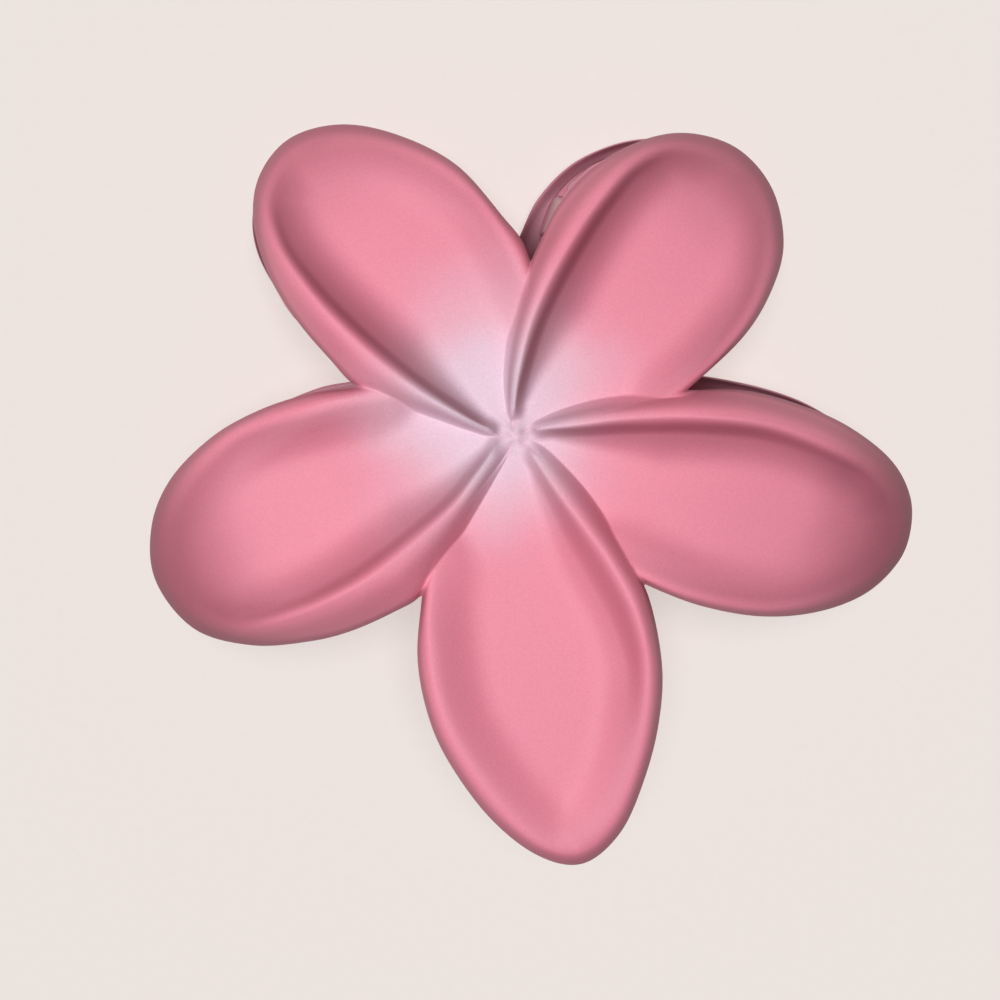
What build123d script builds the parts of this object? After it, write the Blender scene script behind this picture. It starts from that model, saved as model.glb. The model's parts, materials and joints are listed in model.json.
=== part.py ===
from build123d import *

import os
from math import acos, atan2, cos, degrees, hypot, pi, radians, sin, sqrt

# A two-sided flower hair clip: two flower covers on two claw frames, hinged on a pin and closed by a torsion spring.
#
# Millimetres. The clip lies on its rear flower: +Z is up, +X runs along the hinge, and +Y points from the lever
# petal to the toothed jaw. The origin is the middle of the footprint, on the surface that the clip lies on.
#
# A half is drawn in its own frame: the middle of the flower's face at the origin, x to the right seen from the
# front, y to the jaw and z out of the face. The rear half is drawn in the same frame and then mirrored through the
# plane between the halves. The flowers are mirror images, and the rear one sits slightly turned on its frame; the
# frames differ in their lugs, the front pair inside the rear pair, and in their teeth, which interleave.

# ---------------------------------------------------------------- driving dimensions
tilt = 9.0  # degrees from each flower to the plane between the halves
flower_height = 17.0  # from that plane to the middle of a flower
rear_turn = 3.0  # the rear flower is bonded on turned this far, in degrees

cover_thickness = 2.2
flat_radius = 15.0  # a flower's face is flat to here and falls away beyond it
petal_fall_radius = 52.0  # the arc of the four jaw and side petals
lever_fall_radius = 200.0  # the lever petal is nearly straight
ridge_radius = 1.7  # rolled edge of a petal
ridge_rise = 0.3  # its centre over the face
nub_radius = 1.6

frame_thickness = 1.6
glue_line = 0.05  # between a flower cover and its frame
hub_radius = 10.5
jaw_centre = (15.0, 20.5)
jaw_disc_radius = 11.2
jaw_arm_width = 15.0
lever_arm_reach = 33.0
lever_arm_width = 14.0

front_teeth = (131.0, 71.0, 11.0)  # angles round the right jaw disc's centre, mirrored on the left one
rear_teeth = (160.5, 100.5, 40.5)  # half a pitch on, so that the halves' teeth interleave
tooth_circle = 10.2
tooth_root = (5.6, 2.0)  # width and thickness
tooth_tip = (3.8, 1.7)
tooth_tip_clearance = 1.5
tooth_fillet = 0.7

hinge_offset = -12.0  # from the middle of the flowers, in the plane between the halves
pin_radius = 1.1
pin_clearance = 0.05
lug_radius = 3.3
lug_thickness = 2.0
lug_gap = 0.2
lug_outer_face = 9.5  # of the rear lugs, which the front ones stand inside
lug_foot = (-14.5, -2.5)  # from y to y, on the frame's plate

head_radius = 1.9
head_thickness = 0.7
head_play = 0.1
cap_radius = 2.1
cap_length = 1.7
cap_floor = 0.5

wire_radius = 0.45
coil_radius = 2.6
coil_pitch = 1.15
full_turns = 5
leg_rest = -24.0  # where a spring leg rests on the lever arm, in y
leg_clearance = 0.15
rib_length = 7.0
rib_thickness = 0.9
rib_height = 1.3
rib_spacing = 2.8

# Petal outlines in degrees and millimetres from the middle, from crotch to crotch, counter-clockwise.
right_crotch = (15.5, 19.3)
top_crotch = (86, 16.8)
left_crotch = (163, 17.6)
low_left_crotch = (240, 19.4)
low_right_crotch = (312.4, 21.0)
upper_right_petal = [right_crotch, (24, 26.6), (33, 33.5), (42, 37.6), (52, 38.8), (62, 36.8), (72, 30.7), (80, 24),
                     top_crotch]
upper_left_petal = [top_crotch, (93, 23.4), (102, 29.5), (111, 34.3), (120, 37.8), (129, 39.5), (138, 37.6),
                    (147, 30.4), (156, 21.9), left_crotch]
left_petal = [left_crotch, (171, 24.6), (180, 31.8), (189, 37.1), (198, 40.1), (207, 40.6), (216, 36.9),
              (225, 30.2), low_left_crotch]
lever_petal = [low_left_crotch, (248, 26.9), (257, 33.7), (266, 39.6), (273, 43.7), (279, 45.3), (285, 42.4),
               (293, 36.4), (302, 29.3), low_right_crotch]
right_petal = [low_right_crotch, (322, 30.4), (332, 38.1), (342, 42.8), (351, 42.5), (360, 37.4), (366.4, 30.2),
               (372.1, 23.7), right_crotch]
round_petals = [upper_right_petal, upper_left_petal, left_petal, right_petal]

# Each petal's rolled edge, by its two ends and a point between them, in the same polar form.
round_ridges = [
    [(83, 6.0), (76, 21.0), (64, 32.5)],
    [(150, 9.5), (149, 22.5), (139, 34.5)],
    [(212, 6.5), (224, 21.5), (215, 35.0)],
    [(9, 12.0), (5, 25.0), (354, 38.0)],
]
lever_ridge = [(-60, 9.0), (-58, 17.5), (-62, 27.0)]
lever_axis = -82.0


def polar(angle, radius):
    return Vector(radius * cos(radians(angle)), radius * sin(radians(angle)))


def placed(inner, outer):
    """A plane that is given in another plane's own frame."""
    return Plane(outer.location * inner.location)


def fall(distance, radius):
    """Drop of a surface that is flat to flat_radius and then follows an arc of this radius."""
    past = max(0.0, distance - flat_radius)
    return radius - sqrt(radius**2 - past**2)


# The plane between the halves in a half's frame, with its normal towards the flower.
middle = Plane(
    origin=(0, flower_height * sin(radians(tilt)), -flower_height * cos(radians(tilt))),
    x_dir=(1, 0, 0),
    z_dir=(0, -sin(radians(tilt)), cos(radians(tilt))),
)
hinge_point = middle.from_local_coords(Vector(0, hinge_offset, 0))


# Levels under the flower's face.
frame_top = -cover_thickness - glue_line
frame_underside = frame_top - frame_thickness
leg_level = frame_underside - fall(-leg_rest, lever_fall_radius) - leg_clearance - wire_radius


# ---------------------------------------------------------------- shells that the flower's face is cut from
def shell_profile(plane, top, bottom, radius, reach):
    """Section from the middle outwards between two levels under or over the face, flat and then an arc."""
    centre = (flat_radius, -radius)
    end_angle = degrees(acos((reach - flat_radius) / radius))
    with BuildSketch(plane) as profile:
        with BuildLine():
            upper = CenterArc(centre, radius + top, 90, end_angle - 90)
            lower = CenterArc(centre, radius + bottom, 90, end_angle - 90)
            Line(upper @ 1, lower @ 1)
            Polyline(upper @ 0, (0, top), (0, bottom), lower @ 0)
        make_face()
    return profile.sketch


def dome(top, bottom):
    """The round petals' shell, between two levels."""
    with BuildPart() as shell:
        revolve(shell_profile(Plane.XZ, top, bottom, petal_fall_radius, reach=52), axis=Axis.Z)
    return shell.part


def lever_band(top, bottom):
    """The lever petal's shell, between two levels."""
    along = polar(lever_axis, 1)
    plane = Plane(origin=(0, 0, 0), x_dir=along, z_dir=(along.Y, -along.X, 0))
    with BuildPart() as shell:
        extrude(shell_profile(plane, top, bottom, lever_fall_radius, reach=48), amount=25, both=True)
    return shell.part


def petal_prism(outlines):
    """Petals as a straight prism through the face."""
    with BuildPart() as prism:
        with BuildSketch(Plane.XY.offset(-30)):
            for outline in outlines:
                points = [polar(angle, radius) for angle, radius in outline]
                with BuildLine():
                    Spline(*points)
                    Polyline(points[-1], (0, 0), points[0])
                make_face()
        extrude(amount=40)
    return prism.part


def ridge_path(points, radius):
    """Three points along a petal's rolled edge, just over the face."""
    return [polar(angle, distance) + Vector(0, 0, ridge_rise - fall(distance, radius)) for angle, distance in points]


# ---------------------------------------------------------------- flower cover, in a half's frame
with BuildPart() as lever_cover:
    add(petal_prism([lever_petal]))
    add(lever_band(0, -cover_thickness), mode=Mode.INTERSECT)

with BuildPart() as cover:
    add(petal_prism(round_petals))
    add(dome(0, -cover_thickness), mode=Mode.INTERSECT)
    add(lever_cover.part)
    ridges = [ridge_path(points, petal_fall_radius) for points in round_ridges]
    ridges.append(ridge_path(lever_ridge, lever_fall_radius))
    for points in ridges:
        with BuildLine() as ridge:
            ThreePointArc(*points)
        with BuildSketch(Plane(origin=ridge.line @ 0, z_dir=ridge.line % 0)):
            Circle(ridge_radius)
        sweep(path=ridge.line)
        with Locations(points[0], points[-1]):
            Sphere(ridge_radius)
    Sphere(nub_radius)

# ---------------------------------------------------------------- torsion spring, along +Z from its own middle
# Each leg leaves the coil at a tangent and rests on a lever arm.
leg_end = middle.to_local_coords(Vector(0, leg_rest, leg_level)) - Vector(0, hinge_offset, 0)
leg_length = sqrt(leg_end.Y**2 + leg_end.Z**2 - coil_radius**2)
leaving_angle = degrees(atan2(leg_end.Z, leg_end.Y) - atan2(leg_length, coil_radius))
coil_length = coil_pitch * (full_turns + 2 * leaving_angle / 360)
leg_x = coil_length / 2 + leg_length * coil_pitch / (2 * pi * coil_radius)

with BuildPart() as spring:
    with BuildLine() as wire:
        coil = Helix(coil_pitch, coil_length, coil_radius, center=(0, 0, -coil_length / 2))
        Line(coil @ 0 - (coil % 0) * leg_length, coil @ 0)
        Line(coil @ 1, coil @ 1 + (coil % 1) * leg_length)
    with BuildSketch(Plane(origin=wire.line @ 0, z_dir=wire.line % 0)):
        Circle(wire_radius)
    sweep(path=wire.line, is_frenet=True)

# ---------------------------------------------------------------- claw frames, in a half's frame
lug_top = frame_top - frame_thickness / 2
rear_lug = lug_outer_face - lug_thickness / 2  # middle of a lug
front_lug = rear_lug - lug_thickness - lug_gap

with BuildPart() as lever_arm:
    with BuildSketch(Plane.XY.offset(-30)):
        SlotArc(Edge.make_line((0, 0), (0, lever_arm_width / 2 - lever_arm_reach)), lever_arm_width)
    extrude(amount=40)
    add(lever_band(frame_top, frame_underside), mode=Mode.INTERSECT)


def toothed_edge(angles):
    """Teeth round both jaw discs, across the plane between the halves and cut off inside the frame's plate."""
    with BuildPart() as teeth:
        for angle in angles:
            place = polar(angle, tooth_circle) + Vector(*jaw_centre)
            underside = frame_underside - fall(hypot(place.X, place.Y), petal_fall_radius)
            root = middle.to_local_coords(place + Vector(0, 0, underside))
            section = Plane(origin=(root.X, root.Y, 0), x_dir=polar(angle + 90, 1), z_dir=(0, 0, 1))
            for level, size in ((root.Z + 4, tooth_root), (tooth_tip_clearance - root.Z, tooth_tip)):
                with BuildSketch(placed(section.offset(level), middle)):
                    RectangleRounded(*size, radius=tooth_fillet)
            loft()
        mirror(about=Plane.YZ)
        add(dome(frame_top - frame_thickness / 2, -30), mode=Mode.INTERSECT)
    return teeth.part


def claw_frame(tooth_angles, lug_middle, leg_side):
    """Plate under a flower, with its teeth, its pair of hinge lugs and the ribs beside its spring leg."""
    with BuildPart() as frame:
        with BuildSketch(Plane.XY.offset(-30)):
            Circle(hub_radius)
            for side in (1, -1):
                jaw = (side * jaw_centre[0], jaw_centre[1])
                with Locations(jaw):
                    Circle(jaw_disc_radius)
                SlotArc(Edge.make_line((0, 0), jaw), jaw_arm_width)
        extrude(amount=40)
        add(dome(frame_top, frame_underside), mode=Mode.INTERSECT)
        add(lever_arm.part)
        add(toothed_edge(tooth_angles))
        for side in (1, -1):
            with BuildSketch(Plane.YZ.offset(side * lug_middle)):
                with BuildLine():
                    eye_front = (hinge_point.Y + lug_radius, hinge_point.Z)
                    eye_back = (hinge_point.Y - lug_radius, hinge_point.Z)
                    Polyline(eye_back, (lug_foot[0], lug_top), (lug_foot[1], lug_top), eye_front)
                    ThreePointArc(eye_front, (hinge_point.Y, hinge_point.Z - lug_radius), eye_back)
                make_face()
                with Locations((hinge_point.Y, hinge_point.Z)):
                    Circle(pin_radius + pin_clearance, mode=Mode.SUBTRACT)
            extrude(amount=lug_thickness / 2, both=True)
        rib_middle = frame_underside - rib_height / 2 + frame_thickness / 4
        for side in (1, -1):
            with Locations((leg_side * leg_x + side * rib_spacing / 2, leg_rest, rib_middle)):
                Box(rib_thickness, rib_length, rib_height + frame_thickness / 2)
    return frame.part


# ---------------------------------------------------------------- where the halves stand
rest_height = cover.part.bounding_box().max.Z


def rear_placed(shape):
    """A shape from the half's frame, mirrored to lie face down under the plane between the halves."""
    return Pos(shift.X, shift.Y, rest_height) * mirror(shape, about=Plane.XY, mode=Mode.PRIVATE)


def front_placed(shape):
    """A shape from the half's frame, over the same plane."""
    return middle_row.location * middle.location.inverse() * shape


def middle_in_row(shift):
    """The plane between the halves, for a rear half moved this far over the surface that it lies on."""
    lower = middle.origin
    return Plane(
        origin=(shift.X, lower.Y + shift.Y, rest_height - lower.Z),
        x_dir=(1, 0, 0),
        z_dir=(0, sin(radians(tilt)), cos(radians(tilt))),
    )


# The footprint's middle, found with the halves where they are first put, goes to the origin.
shift = Vector(0, 0)
middle_row = middle_in_row(shift)
turned_cover = Rot(0, 0, rear_turn) * cover.part
footprint = Compound([rear_placed(turned_cover), front_placed(cover.part)]).bounding_box()
shift = -footprint.center()
middle_row = middle_in_row(shift)
hinge_row = middle_row.from_local_coords(Vector(0, hinge_offset, 0))
hinge = Plane(origin=hinge_row, x_dir=middle_row.y_dir, z_dir=(1, 0, 0))

# ---------------------------------------------------------------- pieces
with BuildPart() as rear_flower_cover:
    add(rear_placed(turned_cover))
rear_flower_cover.part.label = "rear_flower_cover"

with BuildPart() as rear_claw_frame:
    add(rear_placed(claw_frame(rear_teeth, rear_lug, leg_side=-1)))
rear_claw_frame.part.label = "rear_claw_frame"

with BuildPart() as front_flower_cover:
    add(front_placed(cover.part))
front_flower_cover.part.label = "front_flower_cover"

with BuildPart() as front_claw_frame:
    add(front_placed(claw_frame(front_teeth, front_lug, leg_side=1)))
front_claw_frame.part.label = "front_claw_frame"

pin_start = -lug_outer_face - head_play
pin_end = lug_outer_face + cap_length - cap_floor
with BuildPart() as hinge_pin:
    with BuildSketch(hinge.offset(pin_start)):
        Circle(pin_radius)
    extrude(amount=pin_end - pin_start)
    with BuildSketch(hinge.offset(pin_start - head_thickness)):
        Circle(head_radius)
    extrude(amount=head_thickness)
    fillet(hinge_pin.edges().group_by(Axis.X)[0], head_thickness / 2)
hinge_pin.part.label = "hinge_pin"

with BuildPart() as pin_push_cap:
    with BuildSketch(hinge.offset(lug_outer_face)):
        Circle(cap_radius)
    extrude(amount=cap_length)
    fillet(pin_push_cap.edges().group_by(Axis.X)[-1], cap_floor)
    with BuildSketch(hinge.offset(lug_outer_face)):
        Circle(pin_radius)
    extrude(amount=cap_length - cap_floor, mode=Mode.SUBTRACT)
pin_push_cap.part.label = "pin_push_cap"

# The coil starts where the rear leg leaves it.
with BuildPart() as torsion_spring:
    add(hinge.location * Rotation(0, 0, -leaving_angle) * spring.part)
torsion_spring.part.label = "torsion_spring"

pieces = [rear_flower_cover, rear_claw_frame, hinge_pin, pin_push_cap, torsion_spring, front_flower_cover,
          front_claw_frame]
os.makedirs("parts", exist_ok=True)
for piece in pieces:
    export_step(piece.part, f"parts/{piece.part.label}.step")

whole = Compound([piece.part for piece in pieces]).bounding_box()
print("size", [round(value, 2) for value in whole.size], "lowest", round(whole.min.Z, 3))
print("hinge axis through", [round(value, 3) for value in hinge_row])
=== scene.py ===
import json
import math

import bmesh
import bpy
import numpy as np
from mathutils import Matrix, Vector


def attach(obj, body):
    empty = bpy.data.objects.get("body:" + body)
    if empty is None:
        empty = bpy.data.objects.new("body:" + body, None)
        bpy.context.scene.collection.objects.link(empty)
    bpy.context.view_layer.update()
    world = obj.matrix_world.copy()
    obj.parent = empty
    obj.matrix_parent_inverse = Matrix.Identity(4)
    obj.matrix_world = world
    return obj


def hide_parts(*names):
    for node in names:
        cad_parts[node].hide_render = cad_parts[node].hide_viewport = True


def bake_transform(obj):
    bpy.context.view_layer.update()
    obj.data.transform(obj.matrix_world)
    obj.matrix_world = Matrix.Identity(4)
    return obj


# Lengths in a half's own frame are in millimetres, and become metres where a mesh is made. A half's frame
# has the middle of the flower's face at the origin, x to the right, y towards the jaw and z out of the face.
MM = 0.001

# ---------------------------------------------------------------- the frame
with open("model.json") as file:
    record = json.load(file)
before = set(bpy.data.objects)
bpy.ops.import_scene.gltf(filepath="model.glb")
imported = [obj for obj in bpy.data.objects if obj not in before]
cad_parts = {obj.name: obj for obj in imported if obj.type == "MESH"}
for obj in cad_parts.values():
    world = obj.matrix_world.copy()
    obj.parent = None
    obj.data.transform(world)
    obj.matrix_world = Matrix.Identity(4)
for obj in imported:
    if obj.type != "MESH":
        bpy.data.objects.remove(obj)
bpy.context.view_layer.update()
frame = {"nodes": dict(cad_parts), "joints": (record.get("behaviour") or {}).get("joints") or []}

TILT = math.radians(9.0)  # each flower to the plane between the halves
FLOWER_HEIGHT = 17.0  # that plane to the middle of a flower
HINGE_OFFSET = -12.0  # hinge from the middle of the flowers, towards the lever
hinge_point = Vector(frame["joints"][0]["pos_m"])
to_jaw = Vector((0, math.cos(TILT), -math.sin(TILT)))
to_front = Vector((0, math.sin(TILT), math.cos(TILT)))
REAR_TURN = math.radians(3.0)  # the rear flower sits turned on its frame


def half_matrix(side):
    """From a half's own frame, in millimetres, to the row frame. Side is 1 for the front half and -1 for the
    rear one, which is mirrored through the plane between the halves."""
    centre = hinge_point - to_jaw * HINGE_OFFSET * MM + to_front * side * FLOWER_HEIGHT * MM
    out = Vector((0, math.sin(2 * TILT), math.cos(2 * TILT))) if side > 0 else Vector((0, 0, -1))
    right = Vector((1, 0, 0))
    up = out.cross(right) * side
    turn = Matrix((right, up, out)).transposed().to_4x4()
    return Matrix.Translation(centre) @ turn @ Matrix.Scale(MM, 4)


FRONT = half_matrix(1)
REAR = half_matrix(-1) @ Matrix.Rotation(REAR_TURN, 4, "Z")


def half_point(matrix, x, y, z):
    return matrix @ Vector((x, y, z))


# ---------------------------------------------------------------- where the clip is looked at from
VIEW_CENTRE = (-1.58, -6.63)  # on the front flower's face, in its own frame
VIEW_DISTANCE = 300.0
VIEW_WIDTH = 105.3
VIEW_TILT = math.radians(-3.0)  # from the flower's own axis, towards its lever
VIEW_PAN = math.radians(-2.0)  # and to its left
look = Vector((math.sin(VIEW_PAN) * math.cos(VIEW_TILT),
               math.sin(VIEW_TILT),
               math.cos(VIEW_PAN) * math.cos(VIEW_TILT)))
look_out = (FRONT.to_3x3() @ look).normalized()
image_right = (FRONT.to_3x3() @ Vector((0, 1, 0))).cross(look_out).normalized()
image_up = look_out.cross(image_right)
camera_target = half_point(FRONT, *VIEW_CENTRE, 0)
camera_place = camera_target + look_out * VIEW_DISTANCE * MM


# ---------------------------------------------------------------- petals
# Every petal has two edges from the middle of the flower to its tip, in degrees and millimetres: the one on
# its counter-clockwise side lies over the next petal, and inside the crotches the other one is hidden under
# the petal beside it. Its crest runs inside both edges, from the middle round the tip and back, as degrees,
# millimetres, height over the face and width of the slope down into the bowl: a fat ridge on the way out and
# a soft rim on the way back. Its turn is the crest's point at the tip, and its roll is how far the tip bends
# down, and over what length. Its shade is how strongly shade is painted into the colour inside the fat
# ridge, on the ridge's outer flank and at the tip.
PETALS = {
    "upper_right": dict(
        axis=52, roll=(3.4, 7.0), turn=7, shade=(1.0, 0.5, 0.65),
        ccw=[(118, 1.2), (105, 3.1), (99.5, 5.8), (93.9, 9.4), (89.1, 13.3), (85.9, 17.5), (82.4, 21.3),
             (79, 25.5), (73.2, 30.4), (66, 34.9), (59.5, 37.6), (52, 38.9)],
        cw=[(20, 1.2), (12, 4), (6, 8), (6, 12), (11, 16), (17, 20), (24, 26.6), (30, 31.5), (36, 35.3),
            (44, 38.1), (52, 38.9)],
        crest=[(97, 2.4, 0.8, 0.8), (87.3, 6.9, 1.6, 1.3), (81.9, 12.7, 1.9, 1.6),
               (76.1, 19.3, 2.1, 1.8), (70.9, 26.7, 2.0, 1.8), (66.8, 32.3, 1.7, 1.9),
               (61, 35.9, 1.0, 2.4), (51, 37.5, 0.35, 3.6), (40, 35.5, 0.5, 4.6), (30, 30.0, 0.75, 5.0),
               (21, 23.0, 0.8, 4.6), (11, 16.5, 0.5, 3.2)],
    ),
    "upper_left": dict(
        axis=127, roll=(3.0, 7.5), turn=7, shade=(1.0, 0.15, 0.45),
        ccw=[(188, 1.2), (175, 3.2), (168.3, 5.7), (164.5, 9.5), (163.4, 13), (162.2, 17.6),
             (157.2, 21.2), (152, 26.0), (147, 30.8), (141, 35.5), (134.5, 38.6), (127, 39.6)],
        cw=[(90, 1.2), (86, 4), (80, 8), (79, 12), (82, 16), (87, 20.3), (93, 23.4), (102, 29.5),
            (111, 34.3), (119, 37.9), (127, 39.6)],
        crest=[(166, 2.6, 0.8, 0.8), (159.4, 6, 1.5, 1.2), (154, 12.2, 1.8, 1.5), (149.3, 19, 2.0, 1.6),
               (145.2, 26.4, 2.0, 1.6), (141.3, 32.6, 1.6, 1.7), (136, 36.8, 1.0, 2.2),
               (127, 38.3, 0.35, 3.2), (113, 33.8, 0.4, 4.0), (100, 26.8, 0.5, 4.0),
               (88, 18.4, 0.5, 3.4), (80, 13, 0.3, 2.4)],
    ),
    "left": dict(
        axis=202, roll=(5.0, 9.5), turn=7, shade=(0.7, 0.25, 1.0),
        ccw=[(252, 1.2), (244, 3.2), (241, 6.4), (240, 11.4), (239.5, 15.2), (239.3, 19.4),
             (235.5, 22.3), (230, 26.6), (225, 30.4), (218.5, 35.2), (211, 39.2), (202, 40.6)],
        cw=[(160, 1.2), (157, 4), (153, 8), (152, 12), (157, 15.5), (163, 17.8), (168, 22), (174, 27),
            (180, 31.8), (187, 36.4), (194, 39.3), (202, 40.6)],
        crest=[(208, 2.2, 0.8, 0.8), (226, 5.8, 1.5, 1.2), (229, 10, 1.7, 1.5), (226.5, 16, 2.0, 1.7),
               (223.5, 22.9, 2.0, 1.8), (219.5, 29.6, 1.7, 1.8), (214.5, 35.6, 1.2, 1.9),
               (205, 39.0, 0.4, 2.4), (193, 37.4, 0.6, 2.8), (180.4, 30.3, 0.9, 2.7),
               (171.6, 21.6, 1.0, 2.4), (161, 14.5, 0.6, 1.8)],
    ),
    "lever": dict(
        axis=279, roll=(0.4, 4.0), turn=8, shade=(0.4, 0.1, 0.0),
        ccw=[(350, 1.2), (340, 3.0), (329.4, 5.4), (321.4, 9.3), (317, 12.6), (313.4, 16.8),
             (310, 21.9), (303, 28.4), (297, 33.4), (291, 38.2), (285, 42.9), (279, 45.3)],
        cw=[(238, 1.2), (234, 4), (230, 8), (230, 12), (234, 16), (240, 19.6), (246, 25.2), (252, 30.1),
            (258, 34.5), (266, 39.9), (273, 43.9), (279, 45.3)],
        crest=[(318, 2.4, 0.8, 0.9), (309, 7.4, 1.6, 1.6), (308.4, 11.7, 1.8, 2.4),
               (307.6, 16.6, 2.0, 2.8), (304.8, 22.6, 2.0, 2.7), (300, 28.3, 1.5, 2.3),
               (293, 34.6, 0.9, 2.1), (285.5, 40.6, 0.6, 2.0), (278.5, 43.9, 0.5, 2.0),
               (271.3, 41.6, 0.6, 2.0), (257.6, 31.9, 0.8, 2.0), (246, 22.6, 0.8, 1.9),
               (235, 15.2, 0.4, 1.6)],
    ),
    "right": dict(
        axis=347, roll=(4.5, 11.0), turn=7, shade=(0.8, 0.4, 1.0),
        ccw=[(45, 1.2), (35, 3.1), (28.5, 5.8), (23, 9.4), (18.5, 13.3), (15.5, 18.6), (12, 24.4),
             (7.4, 29.6), (2.4, 35.0), (-3, 39.7), (-8, 42.2), (-13, 43.0)],
        cw=[(-52, 1.2), (-54, 4), (-57, 8), (-57, 12), (-53, 17), (-47.6, 21.4), (-42, 26.6),
            (-36, 32.1), (-30, 36.8), (-24, 40.5), (-18, 42.6), (-13, 43.0)],
        crest=[(21, 2.6, 0.8, 0.8), (12.2, 6.5, 1.6, 1.3), (9.8, 12.4, 1.8, 1.7), (6.7, 19.8, 2.1, 1.9),
               (3.4, 27.2, 2.1, 2.0), (-1.9, 34.5, 1.8, 1.9), (-6, 39.0, 1.2, 2.0),
               (-12.5, 41.6, 0.5, 2.6), (-21, 40.3, 0.4, 3.2), (-32, 34.0, 0.7, 3.4),
               (-42, 25.2, 0.8, 3.2), (-53, 16.2, 0.4, 2.2)],
    ),
}
CROTCHES = [15.5, 85.9, 162.2, 239.7, 312.0]

# Crests: lengths in millimetres, shares of the written heights and widths where it says so.
FRONT_CREST, REAR_CREST = 1.8, 1.1  # of the written heights: lower at the rear, which the clip lies on
CREST_STEPS = 14
CREST_BLEND = 0.6  # rounding where a petal's two crest stretches meet
FLANK_DROP = 0.75  # drop on the way out to the edge, as a share of the crest's height
WALL_WIDTH = 1.1  # of the written slopes
STEEP_SHARE = 0.5  # of the way down from a fat ridge, the part that is a steep wall
NO_RIDGE, FULL_RIDGE = 0.7, 1.7  # heights between which a crest turns into a fat ridge
GENTLE_REACH = 6.5
FULL_WIDTH_RADIUS, LEAST_WIDTH = 15.0, 0.25  # ridges narrow to this share towards the middle

# The face under the crests.
BOWL_DEPTH = 0.8  # of a petal's hollow under its face
BOWL_RADII = (2, 11)  # where it starts and is full
FUNNEL_DEPTH, FUNNEL_RADIUS = 0.9, 12
FLAT_RADIUS = 15.0  # beyond it a petal falls back
PETAL_FALL = 52.0  # radius of that bend
LEVER_FALL = 200.0
ROLL_ANGLES = (12.0, 38.0)  # from a petal's axis: its tip rolls fully within the first, not beyond the second
OUTSIDE_DROP = 2.5  # for each millimetre outside a petal's edge
PETAL_BLEND = 0.12  # rounding where one petal lies on another
UPMOST_WIDTH = 0.25  # difference in height over which the upper petal's painted shade takes over
FAR_OUTSIDE = -50.0
COVER_THICKNESS = 2.2
EDGE_ROUND = 1.2
THIN_EDGE = 3  # width of the edge that is thinner than the rest

# The middle of the flower.
MIDDLE_RADII = (1.3, 3.0)  # level inside the first, the petals' own shape outside the second
MIDDLE_HEIGHT = -0.55
NUB_PLACE = (0.2, 0.4)
NUB_RADIUS = 1.5
NUB_HEIGHT = 0.5

# Where shade is painted into the petals' colour.
SHADED_RIDGE = 1.4  # height of a crest with full shade
GROOVE_PEAK, GROOVE_END, GROOVE_FADE = 1.3, 7.0, 1.4  # millimetres inside the crest, and how it fades
GROOVE_RADII = (0.8, 2.8)  # no groove inside the first
FLANK_RISE, FLANK_FADE = (0.1, 0.6), (0.65, 1.0)  # shares of the way from the crest to the edge
TIP_SHADE_LENGTH = 13.0
EDGE_SHADE = 0.65
EDGE_SHADE_WIDTHS = (0.3, 1.7)  # full inside the first, none beyond the second

# Outline of the rear flower against the front one's: middle and width in degrees, and share.
REAR_VARIATION = [(153, 11, -0.065), (78, 14, 0.035), (12, 6, -0.1)]


def polar(points):
    """Points in the flower's plane from degrees and millimetres, with any further values beside them."""
    points = np.array(points, float)
    angle = np.radians(points[:, 0])
    place = np.stack([points[:, 1] * np.cos(angle), points[:, 1] * np.sin(angle)], 1)
    return np.hstack([place, points[:, 2:]])


def smooth_line(points, steps, onward=None):
    """A Catmull-Rom line through points, with this many steps between each pair, ending onward."""
    if onward is None:
        onward = 2 * points[-1] - points[-2]
    ends = np.vstack([2 * points[0] - points[1], points, onward])
    t = np.linspace(0, 1, steps, endpoint=False)[:, None]
    line = []
    for a, b, c, d in zip(ends, ends[1:], ends[2:], ends[3:]):
        line.append(0.5 * (2 * b + (c - a) * t + (2 * a - 5 * b + 4 * c - d) * t**2
                           + (3 * b - a - 3 * c + d) * t**3))
    return np.vstack(line + [points[-1:]])


def smoothstep(value, low, high):
    t = np.clip((value - low) / (high - low), 0, 1)
    return t * t * (3 - 2 * t)


def soft_max(a, b, width):
    """The larger of two heights, with the corner between them rounded over this width."""
    h = np.clip(0.5 + 0.5 * (a - b) / width, 0, 1)
    return b + (a - b) * h + width * h * (1 - h)


def line_distance(points, line, chunk=4000):
    """Signed distance of points from a line, positive to its left, and the line's further values at the
    nearest point."""
    start = line[:-1, :2]
    step = line[1:, :2] - start
    squared_length = (step**2).sum(1)
    distance = np.empty(len(points))
    values = np.empty((len(points), line.shape[1] - 2))
    for first in range(0, len(points), chunk):
        p = points[first:first + chunk, None, :]
        to_point = p - start
        t = np.clip((to_point * step).sum(2) / squared_length, 0, 1)
        squared = ((to_point - t[:, :, None] * step) ** 2).sum(2)
        near = squared.argmin(1)
        row = np.arange(len(near))
        cross = step[near, 0] * to_point[row, near, 1] - step[near, 1] * to_point[row, near, 0]
        distance[first:first + chunk] = np.sqrt(squared[row, near]) * np.where(cross >= 0, 1, -1)
        share = t[row, near][:, None]
        values[first:first + chunk] = line[near, 2:] * (1 - share) + line[near + 1, 2:] * share
    return distance, values


def fall(distance, radius):
    past = np.clip(distance - FLAT_RADIUS, 0, None)
    return radius - np.sqrt(radius**2 - past**2)


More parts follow.
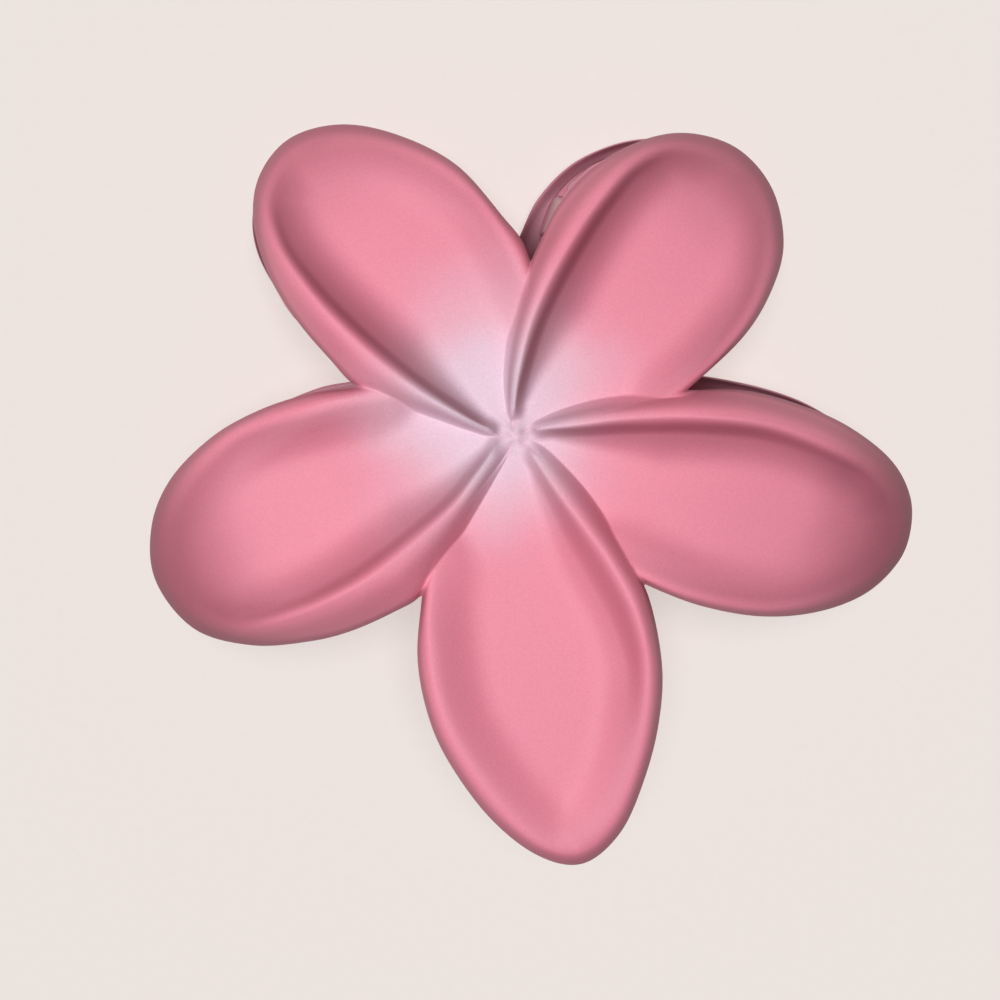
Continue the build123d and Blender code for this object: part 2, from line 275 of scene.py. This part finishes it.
def face_height(points, name):
    """A petal's face without its crest: a shallow funnel in the middle and a backward bend at the tip."""
    r = np.hypot(points[:, 0], points[:, 1])
    axis = math.radians(PETALS[name]["axis"])
    along = points[:, 0] * math.cos(axis) + points[:, 1] * math.sin(axis)
    drop = fall(along, LEVER_FALL) if name == "lever" else fall(r, PETAL_FALL)
    funnel = -FUNNEL_DEPTH * (1 - smoothstep(r, 0, FUNNEL_RADIUS))
    return funnel - drop


def petal_edges(name, steps):
    """A petal's counter-clockwise and clockwise edges as lines that meet smoothly at its tip."""
    ccw = polar(PETALS[name]["ccw"])
    cw = polar(PETALS[name]["cw"])
    return smooth_line(ccw, steps, onward=cw[-2]), smooth_line(cw, steps, onward=ccw[-2])


def tip_roll(points, inset, name):
    """How far a petal's tip bends down at points that lie inset millimetres inside the outline."""
    depth, reach = PETALS[name]["roll"]
    angle = np.degrees(np.arctan2(points[:, 1], points[:, 0]))
    off_axis = np.abs((angle - PETALS[name]["axis"] + 180) % 360 - 180)
    share = np.clip((reach - inset) / reach, 0, 1)
    return depth * share**2 * (1 - smoothstep(off_axis, *ROLL_ANGLES))


def narrowing(points):
    """How much narrower a ridge's inner slope is at points near the middle of the flower."""
    return np.clip(np.hypot(points[:, 0], points[:, 1]) / FULL_WIDTH_RADIUS, LEAST_WIDTH, 1)


def crest_profile(beyond, height, slope, inside, narrow):
    """Share of the crest's height, from how far beyond the crest a point lies: down to the bowl on the inner
    side, in a long gentle run that starts steeply under a fat ridge, and a rounded flank out to the edge."""
    steep_share = STEEP_SHARE * smoothstep(height, NO_RIDGE, FULL_RIDGE)
    inward = np.clip(-beyond, 0, None)
    steep = 0.5 * (1 + np.cos(math.pi * np.clip(inward / (slope * WALL_WIDTH), 0, 1)))
    gentle = 0.5 * (1 + np.cos(math.pi * np.clip(inward / (GENTLE_REACH * narrow), 0, 1)))
    outward = np.clip(beyond, 0, None)
    flank = outward / np.clip(outward + np.clip(inside, 0, None), 0.05, None)
    return np.where(beyond > 0, 1 - FLANK_DROP * flank**2, steep_share * steep + (1 - steep_share) * gentle)


def painted_ridge_shade(beyond, height, inside, name, narrow):
    """How much shade is painted beside a crest: in the crease inside a fat ridge, and on its flank."""
    painted_shade, outer, _ = PETALS[name]["shade"]
    ridge = smoothstep(height, 0.0, SHADED_RIDGE)
    inward = np.clip(-beyond, 0, None) / narrow
    outward = np.clip(beyond, 0, None)
    flank = outward / np.clip(outward + np.clip(inside, 0, None), 0.05, None)
    fading = (1 - smoothstep(inward, GROOVE_PEAK, GROOVE_END)) ** GROOVE_FADE
    in_groove = smoothstep(inward, 0.0, GROOVE_PEAK) * fading
    on_flank = smoothstep(flank, *FLANK_RISE) * (1 - smoothstep(flank, *FLANK_FADE))
    return ridge * (painted_shade * in_groove + outer * on_flank)


def petal_gaps(points, name):
    """How far points are inside a petal's edge, and for the crest's way out and its way back how far beyond
    it they are, with its height and slope there. The two are measured apart, so that no line shows where
    they are equally near."""
    ccw, cw = petal_edges(name, 12)
    inside = np.minimum(-line_distance(points, ccw)[0], line_distance(points, cw)[0])
    crest = smooth_line(polar(PETALS[name]["crest"]), CREST_STEPS)
    tip = CREST_STEPS * PETALS[name]["turn"]
    side = np.where(line_distance(points, crest)[0] >= 0, 1, -1)
    stretches = []
    for stretch in (crest[:tip + 1], crest[tip:]):
        away, values = line_distance(points, stretch)
        stretches.append((np.abs(away) * side, *values.T))
    return inside, stretches


def petal_shape(points, inset, name, gaps, crest_scale):
    """Height of one petal's upper surface at points, and how much shade is painted into its colour there."""
    inside, stretches = gaps
    narrow = narrowing(points)
    bowl = BOWL_DEPTH * smoothstep(np.hypot(points[:, 0], points[:, 1]), *BOWL_RADII)

    rise = None
    shade = np.zeros(len(points))
    for beyond, height, slope in stretches:
        own = (crest_scale * height + bowl) * crest_profile(beyond, height, slope, inside, narrow)
        rise = own if rise is None else soft_max(rise, own, CREST_BLEND)
        shade = np.maximum(shade, painted_ridge_shade(beyond, height, inside, name, narrow))
    outside = np.clip(-inside, 0, None)
    top = face_height(points, name) - bowl + rise - OUTSIDE_DROP * outside - tip_roll(points, inset, name)
    return top, shade


def near_petal(points, name):
    """Which points a petal can reach: those near its own sector, and the middle of the flower."""
    angle = np.degrees(np.arctan2(points[:, 1], points[:, 0]))
    off_axis = np.abs((angle - PETALS[name]["axis"] + 180) % 360 - 180)
    radius = np.hypot(points[:, 0], points[:, 1])
    return (off_axis < 48) | ((off_axis < 80) & (radius < 24)) | (radius < 7)


def painted_tip_shade(points, name):
    """How much shade is painted into the colour towards a petal's tip."""
    axis = math.radians(PETALS[name]["axis"])
    along = points[:, 0] * math.cos(axis) + points[:, 1] * math.sin(axis)
    reach = PETALS[name]["cw"][-1][1]
    return PETALS[name]["shade"][2] * smoothstep(along, reach - TIP_SHADE_LENGTH, reach)


def flower_surface(points, inset, measured, crest_scale):
    """Upper and lower height of the whole flower at points that lie inset millimetres inside its outline, and
    how much shade is painted into its colour there in the creases, along the edges and at the tips."""
    radius = np.hypot(points[:, 0], points[:, 1])
    top = np.full(len(points), FAR_OUTSIDE)
    inside = np.full(len(points), FAR_OUTSIDE)
    face = np.zeros(len(points))
    painted_shade = np.zeros(len(points))
    tip = np.zeros(len(points))
    for name in PETALS:
        near, gaps = measured[name]
        height, shade = petal_shape(points[near], inset[near], name, gaps, crest_scale)
        depth = gaps[0]
        own_face = face_height(points[near], name)
        upmost = smoothstep(height - top[near], -UPMOST_WIDTH, UPMOST_WIDTH)
        painted_shade[near] = painted_shade[near] * (1 - upmost) + shade * upmost
        tip[near] = tip[near] * (1 - upmost) + painted_tip_shade(points[near], name) * upmost
        top[near] = soft_max(top[near], height, PETAL_BLEND)
        face[near] = np.where(depth > inside[near], own_face, face[near])
        inside[near] = np.maximum(inside[near], depth)
    # The petals run out before the very middle, which is level apart from its nub.
    middle = 1 - smoothstep(radius, *MIDDLE_RADII)
    top = top * (1 - middle) + MIDDLE_HEIGHT * middle
    # Painted shade: none in the very middle, and a deep band painted along the outline's edges.
    painted_shade *= smoothstep(radius, *GROOVE_RADII)
    painted_shade = np.maximum(painted_shade, EDGE_SHADE * (1 - smoothstep(inset, *EDGE_SHADE_WIDTHS)))
    from_nub = np.hypot(points[:, 0] - NUB_PLACE[0], points[:, 1] - NUB_PLACE[1])
    top += 0.5 * NUB_HEIGHT * (1 + np.cos(math.pi * np.clip(from_nub / NUB_RADIUS, 0, 1)))
    near_edge = 1 - smoothstep(inside, 0, THIN_EDGE)
    lower = (face - COVER_THICKNESS) * (1 - near_edge) + (top - 2 * EDGE_ROUND) * near_edge
    from_round = np.clip(EDGE_ROUND - inside, 0, EDGE_ROUND)
    rounding = EDGE_ROUND - np.sqrt(np.clip(EDGE_ROUND**2 - from_round**2, 0, None))
    return top - rounding, lower + rounding, painted_shade, tip


def outline_radius(angles):
    """Radius of the flower's outline at angles, in degrees from the first crotch."""
    radius = np.zeros(len(angles))
    for name, petal in PETALS.items():
        ccw, cw = petal_edges(name, 30)
        line = np.vstack([cw, ccw[::-1]])
        angle = np.degrees(np.arctan2(line[:, 1], line[:, 0]))
        distance = np.hypot(line[:, 0], line[:, 1])
        outer = distance > 15.0
        angle = petal["axis"] + (angle[outer] - petal["axis"] + 180) % 360 - 180
        distance = distance[outer]
        order = np.argsort(angle)
        here = petal["axis"] + (angles - petal["axis"] + 180) % 360 - 180
        reach = np.interp(here, angle[order], distance[order], left=0, right=0)
        radius = np.maximum(radius, reach)
    return radius


COLUMNS = 150  # round the flower, in each petal's sector
RIM_RINGS = [0, 0.05, 0.13, 0.25, 0.42, 0.64, 0.92, 1.3, 1.8, 2.4, 3.1]  # inside the outline
FACE_RINGS = 84


def flower_grid():
    """Rings of points in the plane of the flower, from the outline to the middle, and how far inside
    they lie."""
    angles = []
    for first, last in zip(CROTCHES, CROTCHES[1:] + [CROTCHES[0] + 360]):
        angles.append(np.linspace(first, last, COLUMNS, endpoint=False))
    angles = np.concatenate(angles)
    radius = outline_radius(angles)
    rings = [radius - inset for inset in RIM_RINGS]
    for share in np.linspace(1, 0.04, FACE_RINGS)[1:] ** 1.3:  # closer together towards the nub
        rings.append(rings[len(RIM_RINGS) - 1] * share)
    turn = np.radians(angles)
    grid = np.array([np.stack([r * np.cos(turn), r * np.sin(turn)], 1) for r in rings])
    return grid, radius - np.array(rings)


def along_sight(points, height):
    """Points of the flower's plane as they are seen, moved along their sight lines to their height
    over it."""
    eye = np.array(VIEW_CENTRE + (0,)) + VIEW_DISTANCE * np.array(look)
    share = (height / eye[2])[..., None]
    return points + (eye[:2] - points) * share


def varied(points):
    """The rear flower's own outline: parts of it reach further out than on the front one, others less
    far."""
    angle = np.degrees(np.arctan2(points[:, 1], points[:, 0])) % 360
    factor = 1 + sum(share * np.exp(-(((angle - middle) / width) ** 2))
                     for middle, width, share in REAR_VARIATION)
    return points * factor[:, None]


def flower_mesh(name, grid, top, lower, placed, shades):
    rings, columns = grid.shape[:2]
    # The underside is plain, so beyond the rim it takes only every sixth ring.
    under_rings = list(range(len(RIM_RINGS))) + list(range(len(RIM_RINGS) + 4, rings - 1, 6)) + [rings - 1]
    upper = np.column_stack([placed, top]).reshape(rings, columns, 3)
    under = np.column_stack([placed, lower]).reshape(rings, columns, 3)[under_rings[1:]]
    middle = np.array([[0, 0, upper[-1, :, 2].mean()], [0, 0, under[-1, :, 2].mean()]])
    # The outline's own ring is shared by both surfaces, half way between them.
    upper[0, :, 2] = 0.5 * (top.reshape(rings, columns)[0] + lower.reshape(rings, columns)[0])
    vertices = np.vstack([upper.reshape(-1, 3), under.reshape(-1, 3), middle])
    faces = []
    here = np.arange(columns)
    after = (here + 1) % columns

    def band(outer, inner, flip):
        quads = np.column_stack([outer + here, outer + after, inner + after, inner + here])
        faces.extend((quads[:, ::-1] if flip else quads).tolist())

    for ring in range(rings - 1):
        band(ring * columns, (ring + 1) * columns, False)
    base = rings * columns
    band(0, base, True)
    for ring in range(len(under) - 1):
        band(base + ring * columns, base + (ring + 1) * columns, True)
    for start, centre, flip in (((rings - 1) * columns, len(vertices) - 2, False),
                                (base + (len(under) - 1) * columns, len(vertices) - 1, True)):
        fan = np.column_stack([start + here, start + after, np.full(columns, centre)])
        faces.extend((fan[:, ::-1] if flip else fan).tolist())
    mesh = bpy.data.meshes.new(name)
    mesh.from_pydata(vertices.tolist(), [], faces)
    mesh.validate()
    mesh.polygons.foreach_set("use_smooth", [True] * len(mesh.polygons))
    shades["unpainted"] = np.zeros(rings * columns)
    for shade_name, shade in shades.items():
        values = np.full(len(vertices), 1.0 if shade_name == "unpainted" else 0.0)
        values[:rings * columns] = shade
        values[-2] = 0  # the middle of the upper surface
        mesh.attributes.new(shade_name, "FLOAT", "POINT").data.foreach_set("value", values)
    return mesh


# ---------------------------------------------------------------- materials
def shader_nodes(name):
    material = bpy.data.materials.new(name)
    material.use_nodes = True
    tree = material.node_tree
    return material, tree, tree.nodes["Principled BSDF"]


def srgb(red, green, blue):
    """Linear colour from an sRGB one in 0 to 255."""
    def linear(value):
        value /= 255
        return value / 12.92 if value <= 0.04045 else ((value + 0.055) / 1.055) ** 2.4
    return (linear(red), linear(green), linear(blue), 1.0)


def ranged(tree, value, low, high, low_result, high_result):
    """A value mapped from one range to another."""
    node = tree.nodes.new("ShaderNodeMapRange")
    for socket, number in (("From Min", low), ("From Max", high),
                           ("To Min", low_result), ("To Max", high_result)):
        node.inputs[socket].default_value = number
    tree.links.new(value, node.inputs["Value"])
    return node.outputs["Result"]


def stretched_noise(tree, scale, detail):
    """Noise over an object's own place, with this many grains to a metre along x, y and z."""
    place = tree.nodes.new("ShaderNodeTexCoord")
    mapping = tree.nodes.new("ShaderNodeMapping")
    mapping.inputs["Scale"].default_value = scale
    tree.links.new(place.outputs["Object"], mapping.inputs["Vector"])
    noise = tree.nodes.new("ShaderNodeTexNoise")
    noise.inputs["Scale"].default_value = 1.0
    noise.inputs["Detail"].default_value = detail
    tree.links.new(mapping.outputs["Vector"], noise.inputs["Vector"])
    return noise.outputs["Fac"]


def surface_bump(tree, shader, height, strength, distance):
    bump = tree.nodes.new("ShaderNodeBump")
    bump.inputs["Strength"].default_value = strength
    bump.inputs["Distance"].default_value = distance
    tree.links.new(height, bump.inputs["Height"])
    tree.links.new(bump.outputs["Normal"], shader.inputs["Normal"])


def mixed_colour(tree, shader, factor, first, second):
    mix = tree.nodes.new("ShaderNodeMix")
    mix.data_type = "RGBA"
    mix.inputs["A"].default_value = first
    mix.inputs["B"].default_value = second
    tree.links.new(factor, mix.inputs["Factor"])
    tree.links.new(mix.outputs["Result"], shader.inputs["Base Color"])


def tinted(tree, colour, tint, amount):
    """A colour mixed towards a tint by this amount."""
    mix = tree.nodes.new("ShaderNodeMix")
    mix.data_type = "RGBA"
    mix.inputs["B"].default_value = tint
    tree.links.new(amount, mix.inputs["Factor"])
    tree.links.new(colour, mix.inputs["A"])
    return mix.outputs["Result"]


PETAL_PINK = srgb(240, 142, 164)
MIDDLE_PALE = srgb(231, 203, 219)
SPRAY_PLACE = (-3.0, 2.6, 0)
SPRAY_RADII = (0.001, 0.020)  # metres: fully pale, and none of it
# Painted shade towards the petals' tips: a dusty rose.
TIP_SHADE_COLOUR = srgb(158, 82, 97)
TIP_SHADE_DEPTH = 0.85
UNPAINTED = srgb(190, 132, 146)  # the moulding's own colour, under the petals
# Painted shade in the creases beside the ridges, on their flanks and along the edges.
PAINTED_SHADE_COLOUR = srgb(128, 52, 68)
PAINTED_SHADE_DEPTH = 0.72
SPECK_CELLS = 130.0  # to a metre
SPECK_COLOUR = srgb(128, 62, 76)


def petal_material(name, matrix):
    """Soft-touch pink, a paler sprayed middle, painted shade in creases, on edges and tips, and a fine grain.
    """
    material, tree, shader = shader_nodes(name)
    nodes, links = tree.nodes, tree.links
    place = nodes.new("ShaderNodeTexCoord")
    to_half = nodes.new("ShaderNodeMapping")
    to_half.vector_type = "TEXTURE"
    to_half.inputs["Location"].default_value = half_point(matrix, *SPRAY_PLACE)
    to_half.inputs["Rotation"].default_value = matrix.decompose()[1].to_euler()
    links.new(place.outputs["Object"], to_half.inputs["Vector"])
    drift = nodes.new("ShaderNodeTexNoise")
    drift.inputs["Scale"].default_value = 95.0
    drift.inputs["Detail"].default_value = 1.0
    links.new(place.outputs["Object"], drift.inputs["Vector"])
    sideways = nodes.new("ShaderNodeVectorMath")
    sideways.operation = "MULTIPLY_ADD"
    sideways.inputs[1].default_value = (0.008, 0.008, 0.0)
    sideways.inputs[2].default_value = (-0.004, -0.004, 0.0)
    links.new(drift.outputs["Color"], sideways.inputs[0])
    drifted = nodes.new("ShaderNodeVectorMath")
    links.new(to_half.outputs["Vector"], drifted.inputs[0])
    links.new(sideways.outputs["Vector"], drifted.inputs[1])
    length = nodes.new("ShaderNodeVectorMath")
    length.operation = "LENGTH"
    links.new(drifted.outputs["Vector"], length.inputs[0])
    spray = nodes.new("ShaderNodeMapRange")
    spray.interpolation_type = "SMOOTHERSTEP"
    spray.inputs["From Min"].default_value, spray.inputs["From Max"].default_value = SPRAY_RADII
    spray.inputs["To Min"].default_value = 1.0
    spray.inputs["To Max"].default_value = 0.0
    links.new(length.outputs["Value"], spray.inputs["Value"])
    mix = nodes.new("ShaderNodeMix")
    mix.data_type = "RGBA"
    mix.inputs["A"].default_value = PETAL_PINK
    mix.inputs["B"].default_value = MIDDLE_PALE
    links.new(spray.outputs["Result"], mix.inputs["Factor"])
    # The mesh says where shade is painted into the colour, a deep rose beside the ridges and along the edges
    # and a dusty rose at the tips, and where the moulding is bare.
    colour = mix.outputs["Result"]
    for shade_name, deep_colour, most in (("painted_shade", PAINTED_SHADE_COLOUR, PAINTED_SHADE_DEPTH),
                                          ("tip", TIP_SHADE_COLOUR, TIP_SHADE_DEPTH),
                                          ("unpainted", UNPAINTED, 1.0)):
        shade = nodes.new("ShaderNodeAttribute")
        shade.attribute_name = shade_name
        colour = tinted(tree, colour, deep_colour, ranged(tree, shade.outputs["Fac"], 0.0, 1.0, 0.0, most))
    # A few stray dark specks, each in a cell of its own, and a fine mottle.
    cells = nodes.new("ShaderNodeTexVoronoi")
    cells.inputs["Scale"].default_value = SPECK_CELLS
    links.new(place.outputs["Object"], cells.inputs["Vector"])
    chosen = nodes.new("ShaderNodeSeparateColor")
    links.new(cells.outputs["Color"], chosen.inputs["Color"])
    speck = nodes.new("ShaderNodeMath")
    speck.operation = "MULTIPLY"
    links.new(ranged(tree, cells.outputs["Distance"], 0.03, 0.06, 1.0, 0.0), speck.inputs[0])
    links.new(ranged(tree, chosen.outputs["Red"], 0.92, 0.93, 0.0, 0.7), speck.inputs[1])
    mottle = nodes.new("ShaderNodeTexNoise")
    mottle.inputs["Scale"].default_value = 4200.0
    mottle.inputs["Detail"].default_value = 2.0
    links.new(place.outputs["Object"], mottle.inputs["Vector"])
    for amount in (ranged(tree, mottle.outputs["Fac"], 0.35, 0.75, 0.0, 0.11), speck.outputs["Value"]):
        colour = tinted(tree, colour, SPECK_COLOUR, amount)
    links.new(colour, shader.inputs["Base Color"])
    shader.inputs["Roughness"].default_value = 0.62
    grain = nodes.new("ShaderNodeTexNoise")
    grain.inputs["Scale"].default_value = 4200.0
    grain.inputs["Detail"].default_value = 3.0
    links.new(place.outputs["Object"], grain.inputs["Vector"])
    surface_bump(tree, shader, grain.outputs["Fac"], 0.45, 0.00004)
    return material


def moulded_material():
    """Satin dusty-pink moulding: soft flow streaks, uneven gloss and a fine tool texture."""
    material, tree, shader = shader_nodes("claw_plastic")
    flow = stretched_noise(tree, (150, 60, 150), 3.0)
    mixed_colour(tree, shader, ranged(tree, flow, 0.3, 0.7, 0.0, 1.0),
                 srgb(188, 118, 134), srgb(206, 138, 153))
    gloss = stretched_noise(tree, (420, 420, 420), 2.0)
    tree.links.new(ranged(tree, gloss, 0.3, 0.7, 0.3, 0.48), shader.inputs["Roughness"])
    surface_bump(tree, shader, stretched_noise(tree, (3200, 3200, 3200), 2.0), 0.2, 0.00003)
    return material


def drawn_steel(name, scale, first, second):
    """Steel with fine draw lines, whose scale is in lines to a metre along x, y and z."""
    material, tree, shader = shader_nodes(name)
    shader.inputs["Metallic"].default_value = 1.0
    lines = stretched_noise(tree, scale, 3.0)
    mixed_colour(tree, shader, ranged(tree, lines, 0.3, 0.7, 0.0, 1.0), first, second)
    tree.links.new(ranged(tree, lines, 0.3, 0.7, 0.24, 0.36), shader.inputs["Roughness"])
    surface_bump(tree, shader, lines, 0.08, 0.00001)
    return material


def paper_material():
    """Pale studio paper with a faint fibre mottle."""
    material, tree, shader = shader_nodes("floor_paper")
    fibre = stretched_noise(tree, (900, 900, 900), 2.0)
    mixed_colour(tree, shader, fibre, srgb(147, 141, 138), srgb(149, 143, 140))
    shader.inputs["Roughness"].default_value = 0.9
    return material


# ---------------------------------------------------------------- pieces
def link(mesh, name, material):
    piece = bpy.data.objects.new(name, mesh)
    bpy.context.scene.collection.objects.link(piece)
    piece.data.materials.append(material)
    return piece


grid, inset = flower_grid()
flat = grid.reshape(-1, 2)
measured = {}
for name in PETALS:
    near = near_petal(flat, name)
    measured[name] = (near, petal_gaps(flat[near], name))
for body, matrix, node, crest_scale in (("front_half", FRONT, "front_flower_cover", FRONT_CREST),
                                        ("rear_half", REAR, "rear_flower_cover", REAR_CREST)):
    # The two shade values carry shade painted into the petals' colour: in the creases, on the ridges' flanks,
    # along the edges and towards the tips.
    top, lower, painted_shade, tip = flower_surface(flat, inset.ravel(), measured, crest_scale)
    placed = along_sight(flat, top) if body == "front_half" else varied(flat)
    mesh = flower_mesh(node, grid, top, lower, placed, {"painted_shade": painted_shade, "tip": tip})
    mesh.transform(matrix)
    if matrix.is_negative:
        mesh.flip_normals()
    petals = link(mesh, node.replace("cover", "petals"), petal_material(node + "_pink", matrix))
    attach(petals, body)
    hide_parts(node)

# ---------------------------------------------------------------- torsion spring
# Its line is worked out in the hinge's own directions: towards the jaw, towards the front half and along
# the pin.
COIL_RADIUS = 2.6
COIL_PITCH = 1.15
FULL_TURNS = 5
WIRE_RADIUS = 0.45
WIRE_SIDES = 12
STEPS_TO_A_TURN = 32
LEG_STEPS = 10
LEG_END = (0, -24.0, -4.653)  # where a leg rests under the lever arm, in a half's own frame


def spring_line():
    """Points along the wire, from the rear leg's end to the front leg's, and the length of the coil."""
    leg_end = (half_point(FRONT, *LEG_END) - hinge_point) / MM
    y, z = leg_end.dot(to_jaw), leg_end.dot(to_front)
    leg_length = math.sqrt(y**2 + z**2 - COIL_RADIUS**2)
    leaving = math.atan2(z, y) - math.atan2(leg_length, COIL_RADIUS)
    coil_length = COIL_PITCH * (FULL_TURNS + leaving / math.pi)
    rise = COIL_PITCH / (2 * math.pi)
    turned = np.linspace(-leaving, leaving + 2 * math.pi * FULL_TURNS, STEPS_TO_A_TURN * FULL_TURNS)
    coil = np.stack([COIL_RADIUS * np.cos(turned), COIL_RADIUS * np.sin(turned),
                     rise * (turned + leaving) - coil_length / 2], 1)

    def tangent(angle):
        along = np.array([-COIL_RADIUS * math.sin(angle), COIL_RADIUS * math.cos(angle), rise])
        return along / np.linalg.norm(along)

    away = np.linspace(1, 0, LEG_STEPS, endpoint=False)[:, None] * leg_length
    rear_leg = coil[0] - tangent(turned[0]) * away
    front_leg = coil[-1] + tangent(turned[-1]) * away[::-1]
    return np.vstack([rear_leg, coil, front_leg]), coil_length


def wire_mesh(name, line):
    """A round wire along a line given in the hinge's own directions, with domed ends."""
    axes = np.array([to_jaw, to_front, Vector((1, 0, 0))])
    along = np.gradient(line, axis=0)
    along /= np.linalg.norm(along, axis=1)[:, None]
    outward = np.cross(along, (0, 0, 1))
    outward /= np.linalg.norm(outward, axis=1)[:, None]
    sideways = np.cross(along, outward)
    turn = np.linspace(0, 2 * math.pi, WIRE_SIDES, endpoint=False)
    last = len(line) - 1
    # Each ring: the point that it is round, its share of the wire's radius, and how far along it is shifted.
    rings = [(0, 0.55, 0.0), (0, 0.85, 0.12), (0, 1.0, 0.35)]
    rings += [(step, 1.0, 0.0) for step in range(1, last)]
    rings += [(last, 1.0, -0.35), (last, 0.85, -0.12), (last, 0.55, 0.0)]
    vertices = []
    for step, share, shift in rings:
        centre = line[step] + along[step] * shift * WIRE_RADIUS
        circle = np.cos(turn)[:, None] * outward[step] + np.sin(turn)[:, None] * sideways[step]
        vertices.append(centre + circle * share * WIRE_RADIUS)
    vertices = np.vstack(vertices) @ axes * MM + np.array(hinge_point)
    here = np.arange(WIRE_SIDES)
    after = (here + 1) % WIRE_SIDES
    faces = [here.tolist(), (here + (len(rings) - 1) * WIRE_SIDES)[::-1].tolist()]
    for ring in range(len(rings) - 1):
        near, far = ring * WIRE_SIDES, (ring + 1) * WIRE_SIDES
        faces += np.column_stack([near + after, near + here, far + here, far + after]).tolist()
    mesh = bpy.data.meshes.new(name)
    mesh.from_pydata(vertices.tolist(), [], faces)
    mesh.validate()
    builder = bmesh.new()
    builder.from_mesh(mesh)
    bmesh.ops.recalc_face_normals(builder, faces=builder.faces)
    builder.to_mesh(mesh)
    builder.free()
    mesh.polygons.foreach_set("use_smooth", [True] * len(mesh.polygons))
    return mesh


wire, coil_length = spring_line()
spring = link(wire_mesh("spring", wire), "closing_spring",
              drawn_steel("spring_steel", (900, 900, 900), srgb(202, 202, 205), srgb(216, 215, 216)))
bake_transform(spring)
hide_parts("torsion_spring")

# ---------------------------------------------------------------- better materials on the CAD pieces
claw = moulded_material()
steel = drawn_steel("pin_steel", (120, 3600, 3600), srgb(200, 200, 203), srgb(222, 221, 221))
for node, material in (("rear_claw_frame", claw), ("front_claw_frame", claw), ("hinge_pin", steel),
                       ("pin_push_cap", steel)):
    frame["nodes"][node].data.materials.clear()
    frame["nodes"][node].data.materials.append(material)

# ---------------------------------------------------------------- floor, light and camera
floor_mesh = bpy.data.meshes.new("floor")
builder = bmesh.new()
bmesh.ops.create_grid(builder, x_segments=2, y_segments=2, size=3.0)
builder.to_mesh(floor_mesh)
builder.free()
floor = link(floor_mesh, "floor", paper_material())

scene = bpy.context.scene
scene.world = bpy.data.worlds.new("studio")
scene.world.use_nodes = True
# A dim soft surround lights the object, and the backdrop itself is as pale as the paper.
world_tree = scene.world.node_tree
surround = world_tree.nodes["Background"]
surround.inputs["Color"].default_value = srgb(240, 238, 238)
surround.inputs["Strength"].default_value = 0.10
backdrop = world_tree.nodes.new("ShaderNodeBackground")
backdrop.inputs["Color"].default_value = srgb(236, 228, 223)
seen = world_tree.nodes.new("ShaderNodeLightPath")
choice = world_tree.nodes.new("ShaderNodeMixShader")
world_tree.links.new(seen.outputs["Is Camera Ray"], choice.inputs["Fac"])
world_tree.links.new(surround.outputs["Background"], choice.inputs[1])
world_tree.links.new(backdrop.outputs["Background"], choice.inputs[2])
world_tree.links.new(choice.outputs["Shader"], world_tree.nodes["World Output"].inputs["Surface"])
scene.view_settings.view_transform = "Standard"


def area_light(name, x, y, z, size, power):
    """A soft round lamp, placed right, up and towards the viewer from the front flower, in metres, and
    turned to it."""
    light = bpy.data.lights.new(name, "AREA")
    light.shape = "DISK"
    light.size = size
    light.energy = power
    lamp = bpy.data.objects.new(name, light)
    target = half_point(FRONT, 0, 0, 0)
    lamp.location = target + image_right * x + image_up * y + look_out * z
    lamp.rotation_euler = (lamp.location - target).to_track_quat("Z", "Y").to_euler()
    scene.collection.objects.link(lamp)
    return lamp


def light_only(lamp, objects, state):
    """Restrict what a lamp lights to these objects, or to all but these."""
    lit = bpy.data.collections.new(lamp.name + "_lit")
    for thing in objects:
        lit.objects.link(thing)
    lamp.light_linking.receiver_collection = lit
    for item in lit.collection_objects:
        item.light_linking.link_state = state


def floor_sun(name, energy, angle):
    """An even light on the floor alone, from where the clip is looked at."""
    light = bpy.data.lights.new(name, "SUN")
    light.energy = energy
    light.angle = math.radians(angle)
    lamp = bpy.data.objects.new(name, light)
    lamp.rotation_euler = look_out.to_track_quat("Z", "Y").to_euler()
    scene.collection.objects.link(lamp)
    light_only(lamp, [floor], "INCLUDE")
    return lamp


key = area_light("key", x=-0.15, y=0.0, z=0.84, size=0.24, power=6.7)
# The floor's first lamp casts the clip's soft shadow. Nothing but the floor blocks the second one.
floor_sun("floor_lamp", energy=3.4, angle=16.0)
fill = floor_sun("floor_fill", energy=5.2, angle=5.0)
blockers = bpy.data.collections.new("floor_fill_blockers")
blockers.objects.link(floor)
fill.light_linking.blocker_collection = blockers
light_only(key, [floor], "EXCLUDE")

camera_data = bpy.data.cameras.new("camera")
camera_data.sensor_width = 36.0
camera_data.lens = camera_data.sensor_width * VIEW_DISTANCE / VIEW_WIDTH
camera = bpy.data.objects.new("camera", camera_data)
camera.location = camera_place
camera.rotation_euler = Matrix((image_right, image_up, look_out)).transposed().to_euler()
scene.collection.objects.link(camera)
scene.camera = camera
